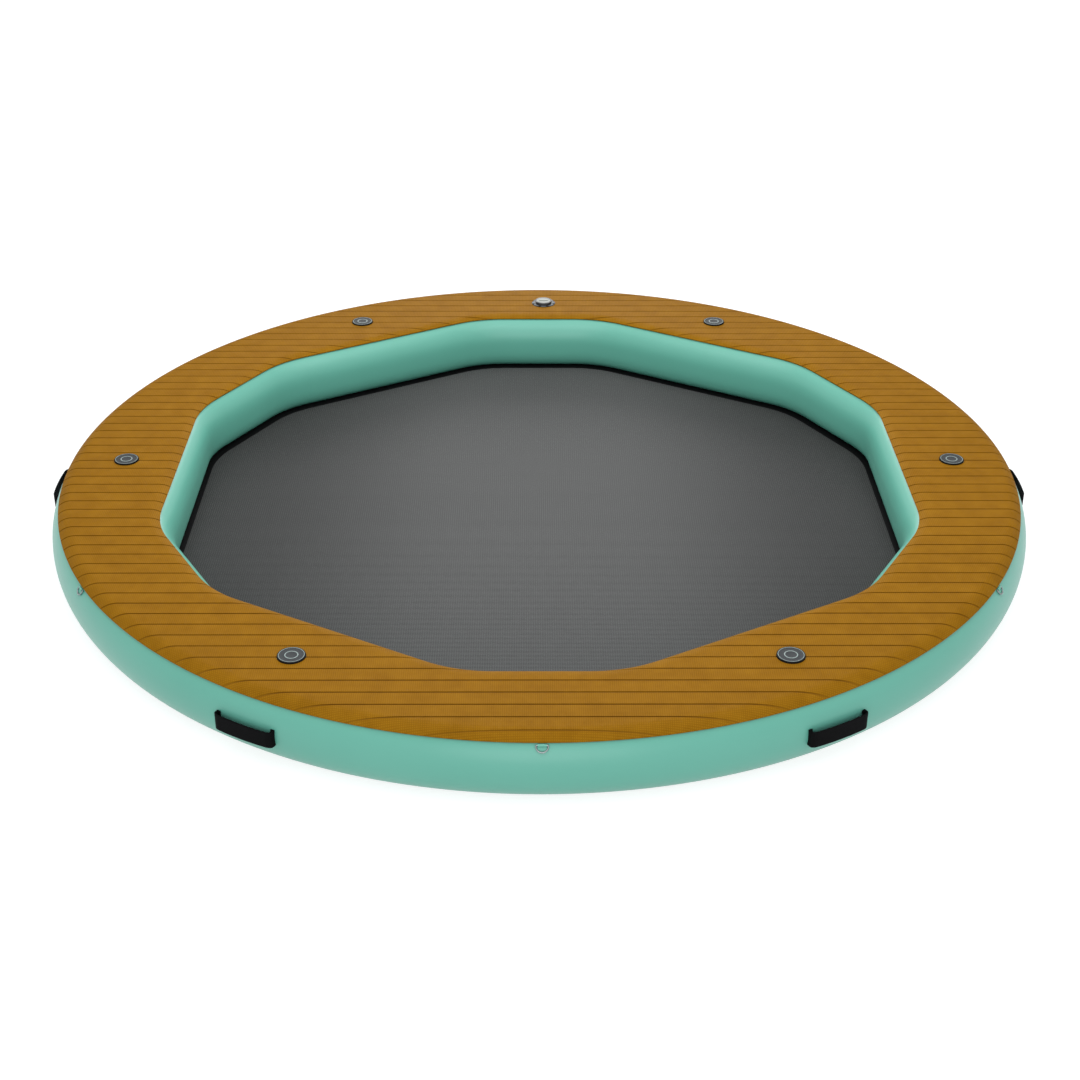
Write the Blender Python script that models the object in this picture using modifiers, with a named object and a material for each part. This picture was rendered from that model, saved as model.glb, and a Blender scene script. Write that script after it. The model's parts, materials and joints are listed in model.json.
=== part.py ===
"""Inflatable water hammock: a drop-stitch ring with a grooved foam deck and a net floor.

The ring is round outside and twelve-sided inside, with long and short sides taking turns.
The origin is the ring's centre on its underside, +Z is up and the inflation valve is at +Y.
Angles are measured from +Y towards +X. All sizes are in metres.
"""
import math

import bmesh
import bpy
from mathutils import Matrix, Vector

# Ring
overall_diameter = 3.05
deck_height = 0.200          # floor to the top of the deck pad
outer_bulge = 0.070          # how far the outer side wall swells past the panels
inner_bulge = 0.080          # how far the inner side wall swells into the opening
deck_width = 0.222           # across the flat panels, at a short side of the opening
long_side_step = 0.049       # how much nearer the ring's centre the long sides lie
corner_radius = 0.385
skin_thickness = 0.001       # coated fabric of the top and bottom panels
rail_thickness = 0.001       # coated fabric of the side walls
rail_lap = 0.035             # side wall tucked under a panel's edge
core_clearance = 0.0008
seat_gap = 0.0003            # between pieces that are bonded or rest on each other
overrun = 0.010              # how far a cutter passes a face that it goes through
side_count = 12
corner_steps = 2
wall_steps = 6
round_steps = 16
wall_step_angle = math.pi / wall_steps
merge_distance = 0.00005     # closes a turned shape's poles

# Deck pad
pad_thickness = 0.005
pad_inner_wrap = math.radians(24)    # how far round the inner side wall the pad reaches
pad_outer_wrap = math.radians(36)
pad_wrap_steps = 2
plank_width = 0.0543         # from one groove to the next
plank_shift = -0.008         # place of the groove nearest the ring's centre
plank_groove_width = 0.005
plank_groove_depth = 0.002
pad_hole_clearance = 0.001

# Net floor and its binding
net_thickness = 0.0012
net_pitch = 0.165
net_gap_width = 0.095
net_edge_inset = 0.050       # panels' edge to the net's edge
binding_leaf = 0.0015        # one layer of the folded webbing
binding_tail_inset = 0.006
binding_inner_inset = 0.071
binding_clearance = 0.001    # floor to the underside of the binding

# Grab handles
handle_count = 6
handle_first_angle = math.radians(30)
handle_length = 0.185
handle_width = 0.048
handle_thickness = 0.004
handle_standoff = 0.0155    # rail to the outside of the grip at its ends
handle_bow = 0.003
handle_bend = 0.012
handle_foot = 0.010
handle_bend_steps = 3

# D-rings and the loops that hold them
d_ring_count = 6
d_ring_width = 0.032         # over the middles of the wire
d_ring_depth = 0.018
d_ring_wire = 0.004
d_ring_corner = 0.003
d_ring_arc_steps = 8
loop_width = 0.022
loop_thickness = 0.0012
loop_tail = 0.014
loop_clearance = 0.0004
loop_steps = 8
loop_pad_clearance = 0.0007

# Magnet pods
pod_count = 6
pod_first_angle = math.radians(30)
pod_shift = 0.0045           # from the middle of the flat panels towards the opening
pod_radius = 0.038
pod_rise = 0.0045            # above the deck
pod_chamfer = 0.001
magnet_radius = 0.026
magnet_thickness = 0.004
cover_lip = 0.003            # pod's wall round the cover
cover_thickness = 0.0025
cover_rise = 0.0005          # above the pod's rim
cover_band = 0.004           # width of the raised band round the cover
cover_dish = 0.0006

# Inflation valve
valve_shift = 0.014          # from the middle of the flat panels towards the opening
valve_side_shift = 0.021     # to the right of the middle of its side
gasket_thickness = 0.0012
flange_width = 0.013         # past the collar
flange_thickness = 0.0045
scallop_count = 8
scallop_radius = 0.006
scallop_bite = 0.004
collar_wall = 0.007          # past the barrel
cap_seat_height = 0.004      # flange to the floor of the cap's recess
collar_lip = 0.0055          # recess's floor to the top of the collar
bore_radius = 0.0215
barrel_wall = 0.0025
barrel_length = 0.045
valve_seat_width = 0.0045    # from the bore inwards
valve_seat_thickness = 0.003
guide_depth = 0.028          # flange's underside to the top of the stem guide
guide_thickness = 0.003
guide_bar_width = 0.005
guide_boss_radius = 0.0065
nut_width = 0.016            # past the barrel
nut_thickness = 0.008
stem_radius = 0.003
stem_clearance = 0.0004
stem_travel = 0.005
button_radius = 0.0065
button_thickness = 0.003
button_drop = 0.003          # flange's underside to the top of the button
foot_radius = 0.008
foot_thickness = 0.0015
seal_lap = 0.002             # past the seat's edge
seal_thickness = 0.0025
spring_wire = 0.0008
spring_radius = 0.0048
spring_turns = 4
spring_turn_steps = 8
well_clearance = 0.004       # core's well to the nut, and below the open valve
cap_lap = 0.0035             # past the bore
cap_play = 0.0006            # between the cap and the collar round it
cap_thickness = 0.004
cap_chamfer = 0.0008
cap_grip_length = 0.034
cap_grip_width = 0.006
cap_grip_height = 0.0015
cap_ring_wire = 0.0014
cap_ring_lap = 0.0017        # bore to the middle of the ring's wire
plug_clearance = 0.0006
plug_length = 0.0105
plug_wall = 0.0025
lug_reach = 0.0014
lug_width = 0.006
lug_height = 0.0015
lug_clearance = 0.0004       # above and below a lug
lug_track_clearance = 0.001  # beyond its end

# Heights above the floor and reaches from the ring's centre, from the sizes above
pad_bottom = deck_height - pad_thickness
skin_top = pad_bottom - seat_gap
rail_top = skin_top - skin_thickness - seat_gap
rail_bottom = skin_thickness + seat_gap
wall_middle = (rail_top + rail_bottom) / 2
wall_half_height = (rail_top - rail_bottom) / 2
outer_radius = overall_diameter / 2
panel_radius = outer_radius - outer_bulge
short_side_reach = panel_radius - deck_width
long_side_reach = short_side_reach - long_side_step
pod_reach = (panel_radius + long_side_reach) / 2 - pod_shift
valve_reach = (panel_radius + short_side_reach) / 2 - valve_shift

# Radii of the pods' covers and of the valve's pieces, each from the one inside it
cover_radius = pod_radius - cover_lip
barrel_radius = bore_radius + barrel_wall
collar_radius = barrel_radius + collar_wall
flange_radius = collar_radius + flange_width
nut_radius = barrel_radius + nut_width
valve_seat_radius = bore_radius - valve_seat_width
seal_radius = valve_seat_radius + seal_lap
cap_radius = bore_radius + cap_lap
cap_ring_radius = bore_radius + cap_ring_lap

# Colours as in the photograph, sRGB
seafoam = "7CC5B1"
teak = "A0722C"
charcoal = "4A4A4C"
black = "141414"
core_white = "D9DCD8"
pod_grey = "70757A"
steel = "C8CBCC"
valve_grey = "3C4043"
cap_grey = "D5D9D9"
rubber_black = "1C1C1C"


def start_empty():
    """Remove what the file holds, and make the two collections."""
    for thing in list(bpy.data.objects):
        bpy.data.objects.remove(thing, do_unlink=True)
    made = []
    for name in ("water_hammock", "cutters"):
        collection = bpy.data.collections.new(name)
        bpy.context.scene.collection.children.link(collection)
        made.append(collection)
    return made


def linear(channel):
    """An sRGB channel of 0 to 1 as a linear one."""
    return channel / 12.92 if channel <= 0.04045 else ((channel + 0.055) / 1.055) ** 2.4


def finish(name, colour, roughness, metallic=0.0):
    """A Principled material of one colour."""
    material = bpy.data.materials.new(name)
    material.use_nodes = True
    shader = material.node_tree.nodes["Principled BSDF"]
    channels = [linear(int(colour[place:place + 2], 16) / 255) for place in (0, 2, 4)]
    shader.inputs["Base Color"].default_value = (*channels, 1.0)
    shader.inputs["Roughness"].default_value = roughness
    shader.inputs["Metallic"].default_value = metallic
    material.diffuse_color = (*channels, 1.0)
    return material


parts, cutters = start_empty()
pvc = finish("coated_fabric", seafoam, 0.45)
core_cloth = finish("drop_stitch_cloth", core_white, 0.8)
foam = finish("deck_foam", teak, 0.85)
net_yarn = finish("net_yarn", charcoal, 0.6)
webbing = finish("black_webbing", black, 0.7)
pod_plastic = finish("pod_plastic", rubber_black, 0.5)
cover_plastic = finish("cover_plastic", pod_grey, 0.45)
stainless = finish("stainless_steel", steel, 0.25, 1.0)
valve_plastic = finish("valve_plastic", valve_grey, 0.5)
cap_plastic = finish("cap_plastic", cap_grey, 0.4)
rubber = finish("rubber", rubber_black, 0.7)


def add_part(name, mesh, material, smooth_angle=math.radians(40)):
    """An object of the model, shaded smooth up to an angle."""
    part = bpy.data.objects.new(name, mesh)
    parts.objects.link(part)
    mesh.materials.append(material)
    mesh.shade_smooth()
    mesh.set_sharp_from_angle(angle=smooth_angle)
    return part


def add_cutter(name, mesh):
    """A hidden object that only cuts or joins others."""
    cutter = bpy.data.objects.new(name, mesh)
    cutters.objects.link(cutter)
    cutter.hide_render = True
    cutter.display_type = "WIRE"
    return cutter


def boolean(part, cutter, operation="DIFFERENCE"):
    """Cut a part with a cutter, or join them."""
    modifier = part.modifiers.new(cutter.name, "BOOLEAN")
    modifier.object = cutter
    modifier.operation = operation


def mesh_from(bm, name):
    """A mesh with its faces pointing outwards."""
    bmesh.ops.recalc_face_normals(bm, faces=bm.faces)
    mesh = bpy.data.meshes.new(name)
    bm.to_mesh(mesh)
    bm.free()
    return mesh


def boxes_mesh(name, boxes):
    """One mesh of boxes, each given by its middle and its size."""
    bm = bmesh.new()
    for middle, size in boxes:
        place = Matrix.Translation(middle) @ Matrix.Diagonal((*size, 1))
        bmesh.ops.create_cube(bm, size=1, matrix=place)
    return mesh_from(bm, name)


def cylinders_mesh(name, cylinders, steps):
    """One mesh of upright cylinders, each given by its middle, radius and height."""
    bm = bmesh.new()
    for middle, radius, height in cylinders:
        bmesh.ops.create_cone(bm, cap_ends=True, segments=steps, radius1=radius, radius2=radius,
                              depth=height, matrix=Matrix.Translation(middle))
    return mesh_from(bm, name)


def turned(name, profile, place, material, steps=round_steps, closed=False):
    """A part turned about an upright axis; the profile runs down its outer side."""
    mesh = bpy.data.meshes.new(name)
    edges = [(spot, spot + 1) for spot in range(len(profile) - 1)]
    if closed:
        edges.append((len(profile) - 1, 0))
    mesh.from_pydata([(radius, 0, height) for radius, height in profile], edges, [])
    part = add_part(name, mesh, material)
    part.location = place
    screw = part.modifiers.new("turn", "SCREW")
    screw.axis = "Z"
    screw.steps = screw.render_steps = steps
    screw.use_merge_vertices = True
    screw.merge_threshold = merge_distance
    screw.use_smooth_shade = True
    return part


def towards(angle):
    """A level direction at an angle from +Y towards +X."""
    return Vector((math.sin(angle), math.cos(angle), 0))


# The two outlines that every ring-shaped piece follows: the same number of stations on each,
# as a point and the direction that leads away from the ring's centre.

def side_reach(side):
    """Ring's centre to the panels' edge on one of the twelve sides."""
    return short_side_reach if side % 2 == 0 else long_side_reach


def opening_outline():
    """Stations round the twelve-sided opening: a side's middle, then its rounded corner."""
    turn = 2 * math.pi / side_count
    stations = []
    for side in range(side_count):
        normal = towards(side * turn)
        along = towards(side * turn + math.pi / 2)
        stations.append((normal * side_reach(side), normal))
        near = side_reach(side) - corner_radius
        far = side_reach(side + 1) - corner_radius
        centre = normal * near + along * (far - near * math.cos(turn)) / math.sin(turn)
        for step in range(corner_steps + 1):
            normal = towards(side * turn + step * turn / corner_steps)
            stations.append((centre + normal * corner_radius, normal))
    return stations


def rim_outline(count):
    """Stations round the panels' outer edge."""
    normals = [towards(2 * math.pi * station / count) for station in range(count)]
    return [(normal * panel_radius, normal) for normal in normals]


opening = opening_outline()
rim = rim_outline(len(opening))
facet_angle = math.pi / len(rim)


def ring_loft(name, section, material):
    """A closed ring lofted through a section of (outline, offset, height) points."""
    bm = bmesh.new()
    rows = []
    for station in range(len(rim)):
        row = []
        for outline, offset, height in section:
            point, normal = outline[station]
            row.append(bm.verts.new(point + normal * offset + Vector((0, 0, height))))
        rows.append(row)
    for station, row in enumerate(rows):
        following = rows[(station + 1) % len(rows)]
        for spot in range(len(section)):
            after = (spot + 1) % len(section)
            bm.faces.new((row[spot], row[after], following[after], following[spot]))
    return add_part(name, mesh_from(bm, name), material)


def opening_plate(name, inset, bottom, height):
    """A flat plate that fills the opening, its edge set in from the panels' edge."""
    bm = bmesh.new()
    corners = [point - normal * inset + Vector((0, 0, bottom)) for point, normal in opening]
    face = bm.faces.new([bm.verts.new(corner) for corner in corners])
    grown = bmesh.ops.extrude_face_region(bm, geom=[face])
    top = [item for item in grown["geom"] if isinstance(item, bmesh.types.BMVert)]
    bmesh.ops.translate(bm, verts=top, vec=(0, 0, height))
    return mesh_from(bm, name)


def wall_curve(bulge, half_height, end=math.pi, steps=wall_steps):
    """Points (out, height) down the swollen side wall, from a panel's edge."""
    angles = [end * step / steps for step in range(steps + 1)]
    return [(bulge * math.sin(angle), wall_middle + half_height * math.cos(angle)) for angle in angles]


def on_outline(outline, points):
    """Section points on one outline: out is away from the panels on either side of the ring."""
    side = 1 if outline is rim else -1
    return [(outline, side * out, height) for out, height in points]


def make_panels():
    """The two flat skins of the ring."""
    for name, bottom in (("bottom_skin", 0), ("top_skin", skin_top - skin_thickness)):
        top = bottom + skin_thickness
        section = [(opening, 0, bottom), (rim, 0, bottom), (rim, 0, top), (opening, 0, top)]
        ring_loft(name, section, pvc)
    cylinder = (Vector((valve_side_shift, valve_reach, skin_top)), barrel_radius + seat_gap, 2 * overrun)
    hole = add_cutter("top_skin_hole", cylinders_mesh("top_skin_hole", [cylinder], round_steps))
    boolean(bpy.data.objects["top_skin"], hole)


def make_side_walls():
    """The outer and inner side walls, each tucked under both panels."""
    for name, outline, bulge in (("outer_rail", rim, outer_bulge), ("inner_rail", opening, inner_bulge)):
        outside = [(-rail_lap, rail_top), *wall_curve(bulge, wall_half_height), (-rail_lap, rail_bottom)]
        curve = wall_curve(bulge - rail_thickness, wall_half_height - rail_thickness)
        inside = [(-rail_lap, rail_top - rail_thickness), *curve, (-rail_lap, rail_bottom + rail_thickness)]
        ring_loft(name, on_outline(outline, outside + inside[::-1]), pvc)


def make_core():
    """The drop-stitch core: two cloths and the threads and air between them, with the valve's well."""
    drawn_in = rail_thickness + core_clearance
    outer = on_outline(rim, wall_curve(outer_bulge - drawn_in, wall_half_height - drawn_in))
    inner = on_outline(opening, wall_curve(inner_bulge - drawn_in, wall_half_height - drawn_in))
    core = ring_loft("drop_stitch_core", outer + inner[::-1], core_cloth)
    bottom = valve_heights()["foot_bottom"] - stem_travel - well_clearance
    depth = rail_top - bottom
    middle = Vector((valve_side_shift, valve_reach, bottom + depth / 2))
    cylinder = (middle, nut_radius + well_clearance, depth)
    boolean(core, add_cutter("valve_well", cylinders_mesh("valve_well", [cylinder], round_steps)))


def ring_places(count, first_angle, reach):
    """Evenly spaced angles and the level places on a circle at them."""
    angles = [first_angle + 2 * math.pi * place / count for place in range(count)]
    return [(angle, towards(angle) * reach) for angle in angles]


def make_deck_pad():
    """The foam pad: flat over the top skin, wrapped over both shoulders, routed into planks."""
    under = pad_bottom - wall_middle
    over = deck_height - wall_middle
    points = []
    for grown, height in ((seat_gap + pad_thickness, over), (seat_gap, under)):
        inner = wall_curve(inner_bulge + grown, height, pad_inner_wrap, pad_wrap_steps)
        outer = wall_curve(outer_bulge + grown, height, pad_outer_wrap, pad_wrap_steps)
        points.append(on_outline(opening, inner[::-1]) + on_outline(rim, outer))
    pad = ring_loft("deck_pad", points[0] + points[1][::-1], foam)

    reach = panel_radius - plank_groove_width
    first = math.ceil((-reach - plank_shift) / plank_width)
    last = math.floor((reach - plank_shift) / plank_width)
    size = (overall_diameter, plank_groove_width, plank_groove_depth + overrun)
    height = deck_height - plank_groove_depth + size[2] / 2
    places = [plank_shift + line * plank_width for line in range(first, last + 1)]
    grooves = [(Vector((0, place, height)), size) for place in places]
    boolean(pad, add_cutter("plank_grooves", boxes_mesh("plank_grooves", grooves)))

    holes = [(place + Vector((0, 0, pad_bottom)), pod_radius + pad_hole_clearance, 4 * overrun)
             for angle, place in ring_places(pod_count, pod_first_angle, pod_reach)]
    middle = Vector((valve_side_shift, valve_reach, pad_bottom))
    holes.append((middle, flange_radius + pad_hole_clearance, 4 * overrun))
    boolean(pad, add_cutter("pad_holes", cylinders_mesh("pad_holes", holes, round_steps)))


# Heights of the floor's layers: binding, net, binding
net_bottom = binding_clearance + binding_leaf + seat_gap
net_top = net_bottom + net_thickness
binding_top = net_top + seat_gap + binding_leaf


def make_net():
    """The net floor: square gaps between broad strands, whole out to its binding."""
    plate = opening_plate("net_floor", net_edge_inset, net_bottom, net_thickness)
    net = add_part("net_floor", plate, net_yarn)
    clear_inset = binding_inner_inset + net_thickness
    bottom = net_bottom - overrun
    clear = add_cutter("net_clear_area", opening_plate("net_clear_area", clear_inset, bottom, 2 * overrun))
    reach = int(short_side_reach / net_pitch)
    gaps = []
    for column in range(-reach, reach + 1):
        for row in range(-reach, reach + 1):
            middle = Vector((column * net_pitch, row * net_pitch, net_bottom))
            margins = [side_reach(side) - clear_inset - middle.dot(towards(2 * math.pi * side / side_count))
                       for side in range(side_count)]
            if min(margins) > 0:
                gaps.append((middle, (net_gap_width, net_gap_width, overrun)))
    cutter = add_cutter("net_gaps", boxes_mesh("net_gaps", gaps))
    boolean(cutter, clear, "INTERSECT")
    boolean(net, cutter)


def make_binding():
    """The webbing folded over the net's edge, its tail bonded under the inner side wall."""
    slope = wall_half_height * (1 - math.cos(wall_step_angle)) / (inner_bulge * math.sin(wall_step_angle))
    drop = seat_gap * math.hypot(1, slope)
    tail_top = rail_bottom + slope * binding_tail_inset - drop
    edge_inset = (binding_top + drop - rail_bottom) / slope
    slot = net_edge_inset - seat_gap
    points = [(binding_tail_inset, binding_clearance), (binding_tail_inset, tail_top),
              (edge_inset, binding_top), (binding_inner_inset, binding_top),
              (binding_inner_inset, net_top + seat_gap), (slot, net_top + seat_gap),
              (slot, net_bottom - seat_gap), (binding_inner_inset, net_bottom - seat_gap),
              (binding_inner_inset, binding_clearance)]
    ring_loft("net_binding", on_outline(opening, points), webbing)


def handle_path():
    """Half of the strap's middle line, as (along, out from the ring's centre), foot to grip."""
    leg = (handle_length - handle_thickness) / 2
    toe = leg - handle_foot
    lift = seat_gap + handle_thickness / 2
    grip = outer_radius + handle_standoff - handle_thickness / 2
    path = [(along, outer_radius - along * math.tan(facet_angle) + lift) for along in (toe, leg)]
    for step in range(handle_bend_steps + 1):
        angle = math.pi / 2 * step / handle_bend_steps
        path.append((leg - handle_bend * (1 - math.cos(angle)), grip - handle_bend * (1 - math.sin(angle))))
    path.append((0, grip + handle_bow))
    return path


def make_handles():
    """Six grab handles: a padded strap bent off the outer side wall, its feet turned in."""
    half = handle_path()
    path = half + [(-along, out) for along, out in half[-2::-1]]
    for number, (angle, place) in enumerate(ring_places(handle_count, handle_first_angle, 0), 1):
        bm = bmesh.new()
        edges = (-handle_width / 2, handle_width / 2)
        rows = [[bm.verts.new((along, out, edge)) for edge in edges] for along, out in path]
        for row, following in zip(rows, rows[1:]):
            bm.faces.new((row[0], row[1], following[1], following[0]))
        handle = add_part(f"handle_{number}", mesh_from(bm, f"handle_{number}"), webbing)
        handle.location = (0, 0, wall_middle)
        handle.rotation_euler = (0, 0, -angle)
        solidify = handle.modifiers.new("strap", "SOLIDIFY")
        solidify.thickness = handle_thickness
        solidify.offset = 0
        solidify.use_even_offset = True


def shoulder_frame():
    """The outer side wall's upper facet: its start, its downhill direction and its normal, (out, up)."""
    start, end = [Vector(point) for point in wall_curve(outer_bulge, wall_half_height)[1:3]]
    down = (end - start).normalized()
    return start, down, Vector((-down.y, down.x))


def on_shoulder(angle):
    """A D-ring's own axes at an angle: bar on X, ring along Y downhill, Z off the wall."""
    start, down, normal = shoulder_frame()
    pad_edge = Vector(wall_curve(outer_bulge + seat_gap, pad_bottom - wall_middle, pad_outer_wrap, 1)[1])
    sleeve = d_ring_wire / 2 + loop_clearance + loop_thickness
    along = (pad_edge - start).dot(down) + loop_pad_clearance + sleeve
    spot = start + down * along + normal * (seat_gap + sleeve)
    out, up = towards(angle), Vector((0, 0, 1))
    bar = Vector((math.cos(angle), -math.sin(angle), 0))
    axes = Matrix((bar, out * down.x + up * down.y, out * normal.x + up * normal.y)).transposed()
    place = out * (panel_radius + spot.x) + up * spot.y
    return Matrix.Translation(place) @ axes.to_4x4()


def poly_curve(name, splines, dimensions, cyclic=True):
    """A curve object of straight-edged splines."""
    curve = bpy.data.curves.new(name, "CURVE")
    curve.dimensions = dimensions
    for points in splines:
        spline = curve.splines.new("POLY")
        spline.points.add(len(points) - 1)
        for spot, point in zip(spline.points, points):
            spot.co = (*point, 1)
        spline.use_cyclic_u = cyclic
    return curve


def d_ring_points():
    """The wire's middle line: a straight bar with rounded ends and half an ellipse."""
    reach = d_ring_width / 2
    points = [(d_ring_corner - reach, 0, 0), (reach - d_ring_corner, 0, 0)]
    for step in range(1, d_ring_arc_steps):
        angle = math.pi * step / d_ring_arc_steps
        points.append((reach * math.cos(angle), d_ring_depth * math.sin(angle), 0))
    return points


def loop_outlines():
    """Section of a loop, (downhill, off the wall) from the bar: a sleeve with a tail, and its hole."""
    hole = d_ring_wire / 2 + loop_clearance
    sleeve = hole + loop_thickness
    meeting = math.asin((loop_thickness - sleeve) / sleeve)
    sweep = 3 * math.pi / 2 - meeting
    outer = [(loop_tail, -sleeve, 0), (loop_tail, loop_thickness - sleeve, 0)]
    for step in range(loop_steps + 1):
        angle = meeting + sweep * step / loop_steps
        outer.append((sleeve * math.cos(angle), sleeve * math.sin(angle), 0))
    inner = [2 * math.pi * step / loop_steps for step in range(loop_steps)]
    return [outer, [(hole * math.cos(angle), hole * math.sin(angle), 0) for angle in inner]]


def make_d_rings():
    """Six D-rings of bent wire, each lying on the shoulder with its bar in a bonded loop."""
    for number, (angle, place) in enumerate(ring_places(d_ring_count, 0, 0), 1):
        frame = on_shoulder(angle)
        wire = poly_curve(f"d_ring_{number}", [d_ring_points()], "3D")
        wire.bevel_depth = d_ring_wire / 2
        wire.bevel_resolution = 1
        wire.materials.append(stainless)
        ring = bpy.data.objects.new(f"d_ring_{number}", wire)
        parts.objects.link(ring)
        ring.matrix_world = frame

        patch = poly_curve(f"d_ring_loop_{number}", loop_outlines(), "2D")
        patch.fill_mode = "BOTH"
        patch.extrude = loop_width / 2
        patch.materials.append(pvc)
        loop = bpy.data.objects.new(f"d_ring_loop_{number}", patch)
        parts.objects.link(loop)
        loop.matrix_world = frame @ Matrix(((0, 0, 1, 0), (1, 0, 0, 0), (0, 1, 0, 0), (0, 0, 0, 1)))


def make_pods():
    """Six magnet pods: a cup set through the pad, a magnet in its pocket and a cover over it."""
    base_bottom = skin_top + seat_gap
    rim_top = deck_height + pod_rise
    cover_top = rim_top + cover_rise
    cover_bottom = cover_top - cover_thickness
    ledge = cover_bottom - seat_gap
    magnet_top = ledge - seat_gap
    magnet_bottom = magnet_top - magnet_thickness
    pocket_floor = magnet_bottom - seat_gap
    pocket = magnet_radius + seat_gap
    recess = cover_radius + seat_gap
    band = cover_radius - cover_band
    base = [(0, pocket_floor), (pocket, pocket_floor), (pocket, ledge), (recess, ledge), (recess, rim_top),
            (pod_radius - pod_chamfer, rim_top), (pod_radius, rim_top - pod_chamfer),
            (pod_radius, base_bottom), (0, base_bottom)]
    magnet = [(0, magnet_top), (magnet_radius, magnet_top), (magnet_radius, magnet_bottom),
              (0, magnet_bottom)]
    dish = cover_top - cover_dish
    cover = [(0, dish), (band - cover_dish, dish), (band, cover_top), (cover_radius, cover_top),
             (cover_radius, cover_bottom), (0, cover_bottom)]
    for number, (angle, place) in enumerate(ring_places(pod_count, pod_first_angle, pod_reach), 1):
        turned(f"pod_base_{number}", base, place, pod_plastic)
        turned(f"pod_magnet_{number}", magnet, place, stainless)
        turned(f"pod_cover_{number}", cover, place, cover_plastic)


def valve_heights():
    """Heights of the valve's faces, worked out from the top skin both ways."""
    heights = {"gasket_bottom": skin_top + seat_gap}
    heights["flange_bottom"] = heights["gasket_bottom"] + gasket_thickness + seat_gap
    heights["flange_top"] = heights["flange_bottom"] + flange_thickness
    heights["cap_seat"] = heights["flange_top"] + cap_seat_height
    heights["collar_top"] = heights["cap_seat"] + collar_lip
    heights["barrel_bottom"] = heights["flange_bottom"] - barrel_length
    heights["guide_top"] = heights["flange_bottom"] - guide_depth
    heights["button_top"] = heights["flange_bottom"] - button_drop
    heights["button_bottom"] = heights["button_top"] - button_thickness
    heights["seal_top"] = heights["barrel_bottom"] - seat_gap
    heights["seal_bottom"] = heights["seal_top"] - seal_thickness
    heights["foot_top"] = heights["seal_bottom"] - seat_gap
    heights["foot_bottom"] = heights["foot_top"] - foot_thickness
    heights["cap_bottom"] = heights["cap_seat"] + cap_ring_wire + 2 * seat_gap
    heights["cap_top"] = heights["cap_bottom"] + cap_thickness
    heights["plug_bottom"] = heights["cap_bottom"] - plug_length
    heights["lug_bottom"] = heights["plug_bottom"] + lug_clearance
    heights["lug_top"] = heights["lug_bottom"] + lug_height
    return heights


def ring_profile(inner, outer, bottom, top):
    """Square section of a flat ring, run down its outer side."""
    return [(inner, top), (outer, top), (outer, bottom), (inner, bottom)]


def make_valve_housing(place, at):
    """Scalloped flange, collar and barrel in one, with the stem's guide and the cap's lug track."""
    track = bore_radius - plug_clearance + lug_reach + lug_track_clearance
    track_bottom = at["lug_bottom"] - lug_clearance
    track_top = at["lug_top"] + lug_clearance
    shelf = at["barrel_bottom"] + valve_seat_thickness
    recess = cap_radius + cap_play
    profile = [(bore_radius, at["cap_seat"]), (recess, at["cap_seat"]), (recess, at["collar_top"]),
               (collar_radius, at["collar_top"]),
               (collar_radius, at["flange_top"]), (flange_radius, at["flange_top"]),
               (flange_radius, at["flange_bottom"]), (barrel_radius, at["flange_bottom"]),
               (barrel_radius, at["barrel_bottom"]), (valve_seat_radius, at["barrel_bottom"]),
               (valve_seat_radius, shelf), (bore_radius, shelf), (bore_radius, track_bottom),
               (track, track_bottom), (track, track_top), (bore_radius, track_top)]
    housing = turned("valve_housing", profile, place, valve_plastic, closed=True)

    guide_middle = place + Vector((0, 0, at["guide_top"] - guide_thickness / 2))
    bar = (guide_middle, (bore_radius + barrel_radius, guide_bar_width, guide_thickness))
    boolean(housing, add_cutter("guide_bar", boxes_mesh("guide_bar", [bar])), "UNION")
    boss = (guide_middle, guide_boss_radius, guide_thickness)
    boolean(housing, add_cutter("guide_boss", cylinders_mesh("guide_boss", [boss], round_steps)), "UNION")
    bore = (guide_middle, stem_radius + stem_clearance, guide_thickness + overrun)
    boolean(housing, add_cutter("guide_bore", cylinders_mesh("guide_bore", [bore], round_steps)))

    height = at["cap_seat"] - track_bottom
    way_size = (lug_width + 2 * lug_clearance, 2 * track, 2 * height)
    way_in = (place + Vector((0, 0, track_bottom + height)), way_size)
    boolean(housing, add_cutter("lug_ways_in", boxes_mesh("lug_ways_in", [way_in])))
    scallops = []
    reach = flange_radius + scallop_radius - scallop_bite
    for angle, spot in ring_places(scallop_count, math.pi / scallop_count, reach):
        middle = place + spot + Vector((0, 0, at["flange_bottom"]))
        scallops.append((middle, scallop_radius, 2 * flange_thickness + overrun))
    boolean(housing, add_cutter("flange_scallops", cylinders_mesh("flange_scallops", scallops, round_steps)))


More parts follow.
